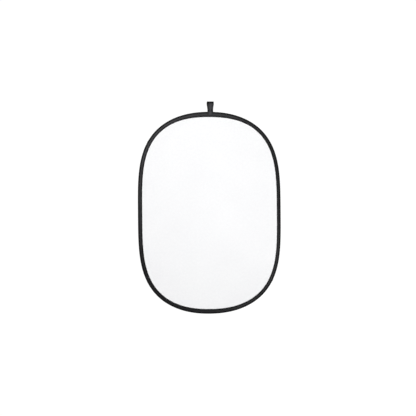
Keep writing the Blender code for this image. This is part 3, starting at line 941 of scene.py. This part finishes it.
def loop_path():
    """The middle of the webbing's thickness as (y, z), from the front leg's end up over the crown and down to
    the back leg's end, in even steps, with the way run."""
    half = WEBBING_THICKNESS / 2
    radius = LOOP_HIGH.y - half
    crown_centre = LOOP_HIGH.z - half - radius
    leg = [(half - leg_face(depth), RIM_TOP - depth) for depth in LEG_DEPTHS]
    over_rim = [(-4.75 * MM, RIM_TOP - 0.7 * MM), (-2.9 * MM, RIM_TOP + 0.9 * MM)]
    neck = [(-1.05 * MM, NECK.z - 0.2 * MM), (-0.85 * MM, NECK.z + 2.2 * MM)]
    eye = [(-2.3 * MM, NECK.z + 10 * MM), (-4.4 * MM, NECK.z + 20 * MM), (-6.1 * MM, crown_centre - 6 * MM)]
    turns = np.linspace(0, np.pi / 2, 5)
    crown = [(-radius * math.cos(turn), crown_centre + radius * math.sin(turn)) for turn in turns]
    front = [*leg, *over_rim, *neck, *eye, *crown]
    back = [(-y, z) for y, z in reversed(front[:-1])]
    fine = catmull_rom([*front, *back], 12)
    run = np.concatenate([[0], np.cumsum(np.hypot(*np.diff(fine, axis=0).T))])
    even = np.linspace(0, run[-1], WEBBING_ROWS)
    return np.stack([np.interp(even, run, fine[:, axis]) for axis in range(2)], axis=-1), even


def make_webbing_loop(material):
    """One strip of webbing: both sewn legs, and the loop between them, gathered at its neck."""
    path, run = loop_path()
    tangent = unit(np.gradient(path, axis=0))
    outward = np.stack([-tangent[:, 1], tangent[:, 0]], axis=-1)
    above_neck = path[:, 1] - NECK.z
    from_crown = run - run[-1] / 2

    # The width flares from the neck to the crown. The front leans right and the back left.
    across = np.sin(np.linspace(-np.pi / 2, np.pi / 2, WEBBING_COLUMNS))
    crown_half = LOOP_HIGH.x - 0.1 * MM
    half = NECK_HALF + (crown_half - NECK_HALF) * smooth((above_neck - FLARE_START) / FLARE_LENGTH)
    past_crown = smooth(from_crown / LOOP_SKEW_LENGTH + 0.5)
    skew = LOOP_SKEW * (0.5 - past_crown) * smooth(above_neck / LOOP_SKEW_LENGTH)
    from_middle = half[:, None] * across
    x = from_middle + skew[:, None]

    # At the neck the webbing is cupped and pleated. Its selvedges are thicker than its middle, and round.
    gather = np.exp(-(((above_neck - 0.5 * MM) / NECK_GATHER_REACH) ** 2))[:, None]
    pleats = NECK_CUP + NECK_PLEAT * np.cos(3 * np.pi * across)
    bend = gather * pleats * (1 - across**2)
    selvedge = 1 + 0.25 * np.exp(-(((1 - np.abs(across)) / 0.07) ** 2))
    off_edge = np.clip((np.abs(across) - 0.955) / 0.045, 0, 1)
    rounding = np.sqrt(np.clip(1 - off_edge**2, 0.05, 1))
    half_thickness = WEBBING_THICKNESS / 2 * selvedge * rounding

    def layer(face):
        offset = bend + face * half_thickness
        y = path[:, :1] + outward[:, :1] * offset
        z = path[:, 1:] + outward[:, 1:] * offset
        return np.stack([x, y, z], axis=-1)

    points = np.concatenate([layer(1), layer(-1)[:, ::-1]], axis=1)
    v = np.concatenate([from_middle, from_middle[:, ::-1], from_middle[:, :1]], axis=1)
    along = np.broadcast_to(from_crown[:, None], x.shape)
    u = np.concatenate([along, along + INSIDE_SHIFT, along[:, :1]], axis=1)
    loop = band_object("webbing_loop", points, u, v, material)
    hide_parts("hanging_loop", "loop_leg_front", "loop_leg_back")
    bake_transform(loop)


# ---------------- The hoop ----------------


def make_hoop_strip(material):
    """The spring-steel strip: one length, its two ends butted inside the ferrule."""
    low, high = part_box("hoop_strip_upper")
    near, far, back = STRIP_CORNER, STRIP_THICKNESS - STRIP_CORNER, STRIP_THICKNESS
    depths = RIM_TOP - high.z + np.array([near, far, back, back, far, near, 0, 0])
    flat = STRIP_FLAT_SHARE
    heights = (high.y - low.y) / 2 * np.array([1, 1, flat, -flat, -1, -1, -flat, flat])
    length = PERIMETER - STRIP_END_GAP
    way = LOWER_JOINT + STRIP_END_GAP / 2 + np.linspace(0, length, STRIP_ROWS + 1)[:, None]
    points = rim_points(way, depths, heights)
    v = np.broadcast_to(np.append(heights, heights[0]), (STRIP_ROWS + 1, len(heights) + 1))
    u = np.broadcast_to(way, v.shape)
    strip = band_object("hoop_strip", points, u, v, material)
    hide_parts("hoop_strip_upper", "hoop_strip_right_end", "hoop_strip_lower")
    blend_over_fold(strip)


def dress_node(node, material):
    """A CAD node that stays gets its finished material."""
    mesh = frame["nodes"][node].data
    mesh.materials.clear()
    mesh.materials.append(material)


# ---------------- Studio ----------------

# The camera sees the floor and the background glow white. The object gets the grey fill instead.
BACKDROP_GLOW = 1.05
FILL_COLOUR = (0.97, 0.98, 1.0, 1)
FILL_STRENGTH = 0.30
FLOOR_DROP = 0.12
FLOOR_REACH = 40

# The softboxes: place from the disc's middle and size, in metres, and power.
SOFTBOXES = {
    "key": ((-0.33, -1.5, 0.72), 1.1, 14.8),
    "fill": ((0.66, -1.5, -0.33), 1.1, 12.0),
    "back_key": ((-1.7, 3.0, 1.9), 2.4, 56),
    "back_fill": ((2.4, 2.6, 0.2), 2.4, 26),
}

# The camera sees a frame FRAME_WIDTH wide at the object, and aims this far from the disc's middle.
CAMERA_DISTANCE = 3.0
FRAME_WIDTH = 1.8030
SENSOR_WIDTH = 36
CAMERA_AZIMUTH = math.radians(-4)
CAMERA_ROLL = math.radians(-0.44)
CAMERA_AIM = (-0.0075, 0, 0.0207)


def white_to_camera(tree, lit, glow_kind, output):
    """The camera sees a white glow of this node kind, and the object is lit by the other shader."""
    glow = tree.nodes.new(glow_kind)
    glow.inputs["Color"].default_value = (1, 1, 1, 1)
    glow.inputs["Strength"].default_value = BACKDROP_GLOW
    mix = tree.nodes.new("ShaderNodeMixShader")
    light_path = tree.nodes.new("ShaderNodeLightPath")
    tree.links.new(light_path.outputs["Is Camera Ray"], mix.inputs[0])
    tree.links.new(lit.outputs[0], mix.inputs[1])
    tree.links.new(glow.outputs[0], mix.inputs[2])
    tree.links.new(mix.outputs[0], output.inputs["Surface"])


def make_floor():
    """A wide white floor under the disc, bright enough to meet the white background without an edge."""
    height = RIM_LOW.z - FLOOR_DROP
    corners = ((-1, -1), (1, -1), (1, 1), (-1, 1))
    points = [(FLOOR_REACH * x, FLOOR_REACH * y, height) for x, y in corners]
    material = bpy.data.materials.new("floor")
    material.use_nodes = True
    nodes = material.node_tree.nodes
    shader = nodes["Principled BSDF"]
    shader.inputs["Base Color"].default_value = (0.8, 0.8, 0.8, 1)
    shader.inputs["Roughness"].default_value = 0.9
    white_to_camera(material.node_tree, shader, "ShaderNodeEmission", nodes["Material Output"])
    make_object("floor", points, [[0, 1, 2, 3]], material)


def make_world():
    """White where the camera sees it, and a soft grey fill for the object."""
    world = bpy.data.worlds.new("studio")
    bpy.context.scene.world = world
    world.use_nodes = True
    nodes = world.node_tree.nodes
    fill = nodes["Background"]
    fill.inputs["Color"].default_value = FILL_COLOUR
    fill.inputs["Strength"].default_value = FILL_STRENGTH
    white_to_camera(world.node_tree, fill, "ShaderNodeBackground", nodes["World Output"])


def make_lights():
    """Softboxes that face the middle of the disc."""
    for name, (place, size, power) in SOFTBOXES.items():
        data = bpy.data.lights.new(name, "AREA")
        data.size = size
        data.energy = power
        light = bpy.data.objects.new(name, data)
        light.location = CENTRE + Vector(place)
        light.rotation_mode = "QUATERNION"
        light.rotation_quaternion = (-Vector(place)).to_track_quat("-Z", "Y")
        bpy.context.scene.collection.objects.link(light)


def make_camera():
    """In front of the white face, a little to its left and level with its middle. The disc hangs a little
    askew, because its loop isn't quite over its middle, so the camera is rolled by that much instead."""
    data = bpy.data.cameras.new("camera")
    data.sensor_width = SENSOR_WIDTH
    data.lens = SENSOR_WIDTH * CAMERA_DISTANCE / FRAME_WIDTH
    back = Vector((math.sin(CAMERA_AZIMUTH), -math.cos(CAMERA_AZIMUTH), 0))
    camera = bpy.data.objects.new("camera", data)
    camera.location = CENTRE + Vector(CAMERA_AIM) + CAMERA_DISTANCE * back
    camera.rotation_mode = "QUATERNION"
    camera.rotation_quaternion = Quaternion(-back, -CAMERA_ROLL) @ (-back).to_track_quat("-Z", "Y")
    bpy.context.scene.collection.objects.link(camera)
    bpy.context.scene.camera = camera


def main():
    bpy.context.scene.view_settings.view_transform = "Standard"
    make_camera()
    make_world()
    make_floor()
    make_lights()
    make_binding(binding_material())
    make_cloth("white_cloth", FRONT, 5, white_cloth_material())
    make_cloth("silver_cloth", BACK, 8, silver_cloth_material())
    thread = thread_material()
    yarn = frayed_yarn_material()
    # The tape on top runs clockwise from the upper joint and back from the lower one.
    joints = (("upper", UPPER_JOINT, 1), ("lower", LOWER_JOINT, -1))
    for side in (FRONT, BACK):
        for joint in joints:
            make_frayed_ends(*joint, side, yarn)
        make_rim_stitching(side, thread)
        for joint in joints:
            make_joint_stitching(*joint, side, thread)
        make_bar_tack(side, thread)
    make_webbing_loop(webbing_material())
    make_hoop_strip(spring_steel_material())
    dress_node("hoop_ferrule", plated_steel_material())
    dress_node("ferrule_wrap", vinyl_tape_material())


main()
